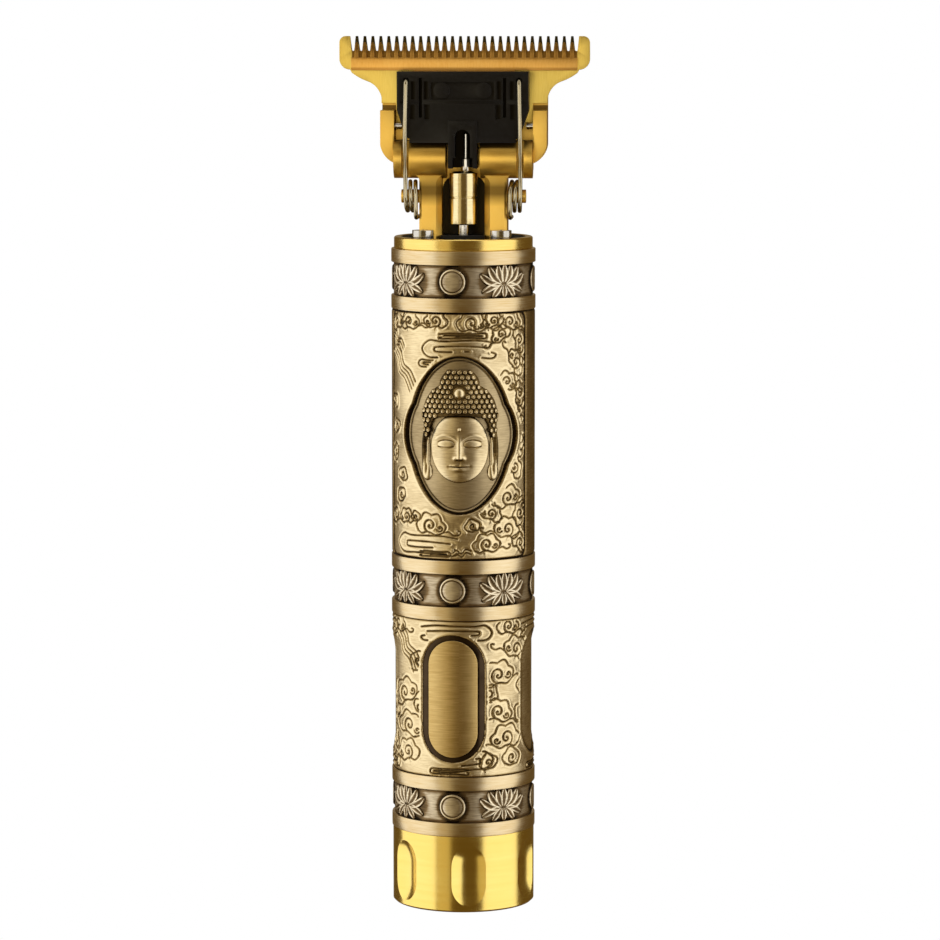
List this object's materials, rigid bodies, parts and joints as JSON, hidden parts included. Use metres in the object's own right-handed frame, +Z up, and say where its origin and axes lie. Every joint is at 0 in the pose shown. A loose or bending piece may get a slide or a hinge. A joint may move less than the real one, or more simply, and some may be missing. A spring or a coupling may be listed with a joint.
{
  "type": "hair clipper",
  "caption": "Cordless T-blade hair clipper: cutting head on an exposed eccentric drive, above a relief-cast brass sleeve holding motor, cell and switch.",
  "frame": {"origin": "middle of the flat foot that the clipper stands on, on the body's axis", "axes": "+Z up the body's axis to the blade's tips, the blade's width along X, and the front with the medallion and the button facing -Y"},
  "size_m": [0.0446, 0.0256, 0.1552],
  "materials": {
    "antique_brass": "antiqued, dark in the recesses",
    "black_nylon": "moulded, slightly glossy",
    "black_plastic": "moulded",
    "board": "solder mask",
    "bright_brass": "polished gold plate",
    "brushed_brass": "brushed across",
    "carbon_copper": "pressed",
    "cell_wrap": "shrink film",
    "clear_resin": "clear",
    "copper": "enamelled wire",
    "dark_brass": "dark patina",
    "ferrite": "pressed",
    "gold_plate": "polished gold plate",
    "lead_sheath": "silicone sheath",
    "nickel": "nickel strip",
    "pale_brass": "turned, bright",
    "rubber": "soft",
    "sintered_bronze": "oil filled",
    "spring_wire": "bright drawn wire",
    "steel": "nickel plated",
    "titanium_gold": "nitride coated, ground",
    "white_card": "fibre washer",
    "zinc_steel": "zinc plated"
  },
  "bodies": {
    "handle": {"base_cap": "bright_brass", "base_seal": "rubber", "battery_cell": "cell_wrap", "battery_insulator": "white_card", "battery_pads": "rubber", "battery_tabs": "nickel", "blade_screws": "steel", "blade_set_screws": "steel", "button_membrane": "rubber", "button_surround": "dark_brass", "charge_board": "board", "charge_board_screws": "steel", "charge_leads": "lead_sheath", "charge_light": "clear_resin", "charge_socket": "steel", "charge_socket_tongue": "black_plastic", "chassis_screws": "steel", "circuit_board": "board", "collar": "bright_brass", "control_chips": "black_plastic", "dust_shield": "black_plastic", "fixed_blade": "titanium_gold", "front_chassis": "black_plastic", "head_bracket": "gold_plate", "head_relief": "antique_brass", "head_screws": "steel", "light_lens": "clear_resin", "medallion": "antique_brass", "motor_bearings": "sintered_bronze", "motor_brushes": "carbon_copper", "motor_can": "zinc_steel", "motor_dampers": "rubber", "motor_end_bell": "black_plastic", "motor_leads": "lead_sheath", "motor_magnets": "ferrite", "motor_mount": "zinc_steel", "motor_terminals": "nickel", "rear_chassis": "black_plastic", "sleeve": "antique_brass", "spring_pins": "steel", "switch_body": "black_plastic", "tension_spring": "spring_wire", "top_cover": "black_plastic"},
    "rotor": {"armature_core": "zinc_steel", "armature_windings": "copper", "commutator": "copper", "drive_pin": "steel", "eccentric": "pale_brass", "motor_shaft": "steel"},
    "cutter": {"follower": "black_nylon", "moving_blade": "titanium_gold"},
    "button": {"button_cap": "brushed_brass", "button_carrier": "black_plastic", "switch_plunger": "black_plastic"}
  },
  "joints": [
    {"name": "rotor_spin", "type": "hinge", "parent": "handle", "child": "rotor", "pos_m": [0, 0, 0.1], "axis": [0, 0, 1], "continuous": true},
    {"name": "cutter_slide", "type": "slide", "parent": "handle", "child": "cutter", "axis": [1, 0, 0], "range_m": [-0.00045, 0.00045], "deforming": ["tension_spring"]},
    {"name": "button_press", "type": "slide", "parent": "handle", "child": "button", "axis": [0.0976, 0.9952, 0], "range_m": [0, 0.0005], "stiffness_N_per_m": 300, "springref_m": -0.002, "deforming": ["button_membrane"]}
  ]
}
